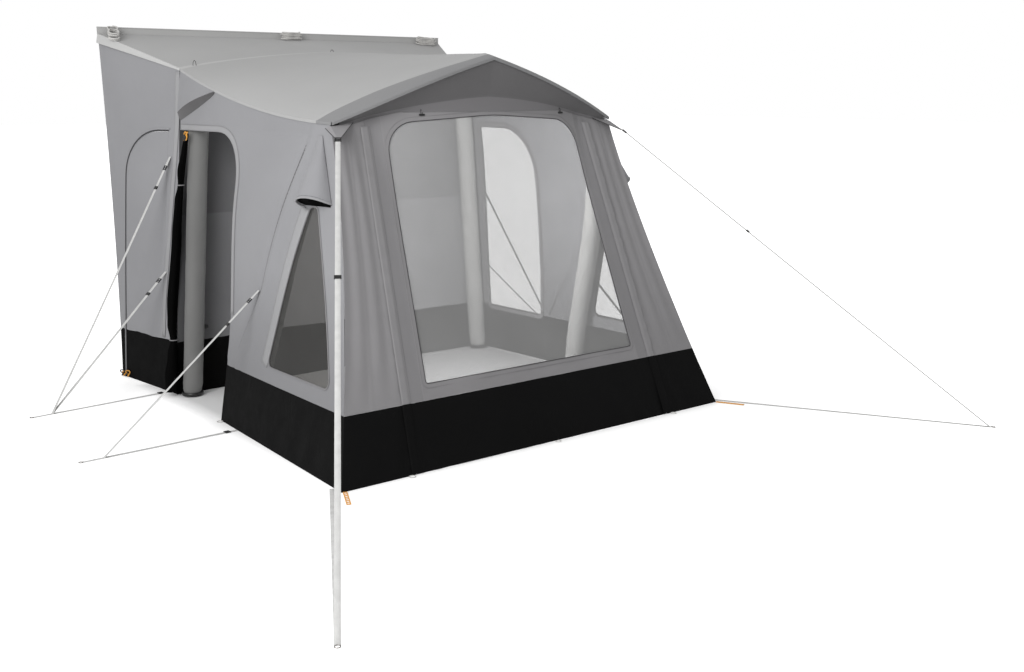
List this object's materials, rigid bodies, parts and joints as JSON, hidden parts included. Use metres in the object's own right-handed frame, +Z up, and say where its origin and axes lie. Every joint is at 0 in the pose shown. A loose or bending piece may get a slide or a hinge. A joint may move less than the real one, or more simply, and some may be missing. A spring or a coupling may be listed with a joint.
{
  "type": "driveaway awning",
  "caption": "Inflatable driveaway awning: a leaning front room on air beams, open tunnel to a van, side doors, windows, black mud wall and storm straps",
  "frame": {"origin": "centre of the footprint's bounding box, on the ground", "axes": "+Z up, +Y from the front of the room towards the van, +X to the right for someone who faces +Y"},
  "size_m": [4.2262, 4.2489, 2.2299],
  "materials": {
    "roof_cloth": "matt coated polyester",
    "wall_cloth": "matt woven polyester",
    "dark_cloth": "matt",
    "mud_cloth": "smooth coated, slightly shiny",
    "window_film": "clear flexible film",
    "beam_skin": "smooth sleeve",
    "pale_webbing": "woven webbing",
    "orange_webbing": "woven webbing",
    "black_plastic": "moulded",
    "peg_steel": "plain wire",
    "pale_cord": "braided"
  },
  "bodies": {
    "shell": {"front_air_beam": "beam_skin", "front_corner_panel_left": "wall_cloth", "front_corner_panel_right": "wall_cloth", "front_peg_ring_left": "peg_steel", "front_peg_ring_right": "peg_steel", "front_storm_strap_left": "pale_webbing", "front_storm_strap_right": "pale_webbing", "front_visor": "dark_cloth", "inflation_valve": "black_plastic", "main_roof": "roof_cloth", "mid_peg_ring_left": "peg_steel", "mid_peg_ring_right": "peg_steel", "mid_storm_strap_left": "pale_webbing", "mid_storm_strap_right": "pale_webbing", "mudwall_left": "mud_cloth", "mudwall_right": "mud_cloth", "rear_air_beam": "beam_skin", "rear_peg_ring_left": "peg_steel", "rear_peg_ring_right": "peg_steel", "rear_storm_strap_left": "pale_webbing", "rear_storm_strap_right": "pale_webbing", "rear_wall": "wall_cloth", "rolled_door_left": "mud_cloth", "side_wall_left": "wall_cloth", "side_wall_right": "wall_cloth", "side_window_left": "window_film", "side_window_right": "window_film", "tunnel_roof": "roof_cloth", "tunnel_wall_left": "wall_cloth", "tunnel_wall_right": "wall_cloth", "van_beading": "dark_cloth", "van_cord_centre": "pale_cord", "van_cord_left": "pale_cord", "van_cord_right": "pale_cord", "vent_cowl_left": "wall_cloth", "vent_cowl_right": "wall_cloth", "wing_gusset_left": "wall_cloth", "wing_gusset_right": "wall_cloth"},
    "front_panel_body": {"front_panel": "wall_cloth", "front_window": "window_film", "front_mudwall": "mud_cloth", "front_zip_flap_left": "wall_cloth", "front_zip_flap_right": "wall_cloth"},
    "zip_slider_left_body": {"front_zip_slider_left": "black_plastic"},
    "zip_slider_right_body": {"front_zip_slider_right": "black_plastic"},
    "right_door_body": {"right_door": "wall_cloth", "right_door_window": "window_film"},
    "tunnel_door_left_body": {"tunnel_door_left": "wall_cloth"},
    "tunnel_door_right_body": {"tunnel_door_right": "wall_cloth"},
    "valve_cap_body": {"valve_cap": "black_plastic"},
    "front_strap_slider_left_body": {"front_strap_slider_left": "black_plastic"},
    "front_strap_slider_right_body": {"front_strap_slider_right": "black_plastic"},
    "mid_strap_slider_left_body": {"mid_strap_slider_left": "black_plastic"},
    "mid_strap_slider_right_body": {"mid_strap_slider_right": "black_plastic"},
    "rear_upper_strap_slider_left_body": {"rear_upper_strap_slider_left": "black_plastic"},
    "rear_upper_strap_slider_right_body": {"rear_upper_strap_slider_right": "black_plastic"},
    "rear_lower_strap_slider_left_body": {"rear_lower_strap_slider_left": "black_plastic"},
    "rear_lower_strap_slider_right_body": {"rear_lower_strap_slider_right": "black_plastic"},
    "peg_ladder_left_body": {"front_peg_ladder_left": "orange_webbing"},
    "peg_ladder_right_body": {"front_peg_ladder_right": "orange_webbing"}
  },
  "joints": [
    {"name": "front_panel_fold", "type": "hinge", "parent": "shell", "child": "front_panel_body", "pos_m": [0, -0.25234, 1.735], "axis": [-1, 0, 0], "range_deg": [0, 95]},
    {"name": "zip_slide_left", "type": "slide", "parent": "shell", "child": "zip_slider_left_body", "axis": [0.0721, 0.3439, 0.9362], "range_m": [0, 1.66]},
    {"name": "zip_slide_right", "type": "slide", "parent": "shell", "child": "zip_slider_right_body", "axis": [-0.0721, 0.3439, 0.9362], "range_m": [0, 1.66]},
    {"name": "right_door_hinge", "type": "hinge", "parent": "shell", "child": "right_door_body", "pos_m": [1.17255, 1.4059, 0], "axis": [-0.0718, 0, 0.9974], "range_deg": [0, 85]},
    {"name": "tunnel_door_left_hinge", "type": "hinge", "parent": "shell", "child": "tunnel_door_left_body", "pos_m": [-1.199, 1.6209, 0], "axis": [0.0649, -0.0622, 0.9959], "range_deg": [0, 65]},
    {"name": "tunnel_door_right_hinge", "type": "hinge", "parent": "shell", "child": "tunnel_door_right_body", "pos_m": [1.199, 1.6209, 0], "axis": [0.0649, 0.0622, -0.9959], "range_deg": [0, 65]},
    {"name": "valve_cap_pull", "type": "slide", "parent": "shell", "child": "valve_cap_body", "axis": [1, 0, 0], "range_m": [0, 0.04]},
    {"name": "front_strap_slider_left_slide", "type": "slide", "parent": "shell", "child": "front_strap_slider_left_body", "axis": [-0.4194, -0.6801, -0.6013], "range_m": [-0.902, 1.613]},
    {"name": "front_strap_slider_right_slide", "type": "slide", "parent": "shell", "child": "front_strap_slider_right_body", "axis": [0.4194, -0.6801, -0.6013], "range_m": [-0.902, 1.613]},
    {"name": "mid_strap_slider_left_slide", "type": "slide", "parent": "shell", "child": "mid_strap_slider_left_body", "axis": [-0.7266, 0.0987, -0.68], "range_m": [-0.136, 0.803]},
    {"name": "mid_strap_slider_right_slide", "type": "slide", "parent": "shell", "child": "mid_strap_slider_right_body", "axis": [0.7266, 0.0987, -0.68], "range_m": [-0.136, 0.803]},
    {"name": "rear_upper_strap_slider_left_slide", "type": "slide", "parent": "shell", "child": "rear_upper_strap_slider_left_body", "axis": [-0.4955, -0.0323, -0.868], "range_m": [-0.1, 1.342]},
    {"name": "rear_upper_strap_slider_right_slide", "type": "slide", "parent": "shell", "child": "rear_upper_strap_slider_right_body", "axis": [0.4955, -0.0323, -0.868], "range_m": [-0.1, 1.342]},
    {"name": "rear_lower_strap_slider_left_slide", "type": "slide", "parent": "shell", "child": "rear_lower_strap_slider_left_body", "axis": [-0.7156, -0.0911, -0.6925], "range_m": [-0.073, 0.784]},
    {"name": "rear_lower_strap_slider_right_slide", "type": "slide", "parent": "shell", "child": "rear_lower_strap_slider_right_body", "axis": [0.7156, -0.0911, -0.6925], "range_m": [-0.073, 0.784]},
    {"name": "peg_ladder_left_lift", "type": "hinge", "parent": "shell", "child": "peg_ladder_left_body", "pos_m": [-1.285, -0.7843, 0.003], "axis": [-0.908, 0.4191, 0], "range_deg": [0, 80]},
    {"name": "peg_ladder_right_lift", "type": "hinge", "parent": "shell", "child": "peg_ladder_right_body", "pos_m": [1.2986, -0.7801, 0.003], "axis": [-0.8884, -0.4592, 0], "range_deg": [0, 80]}
  ]
}
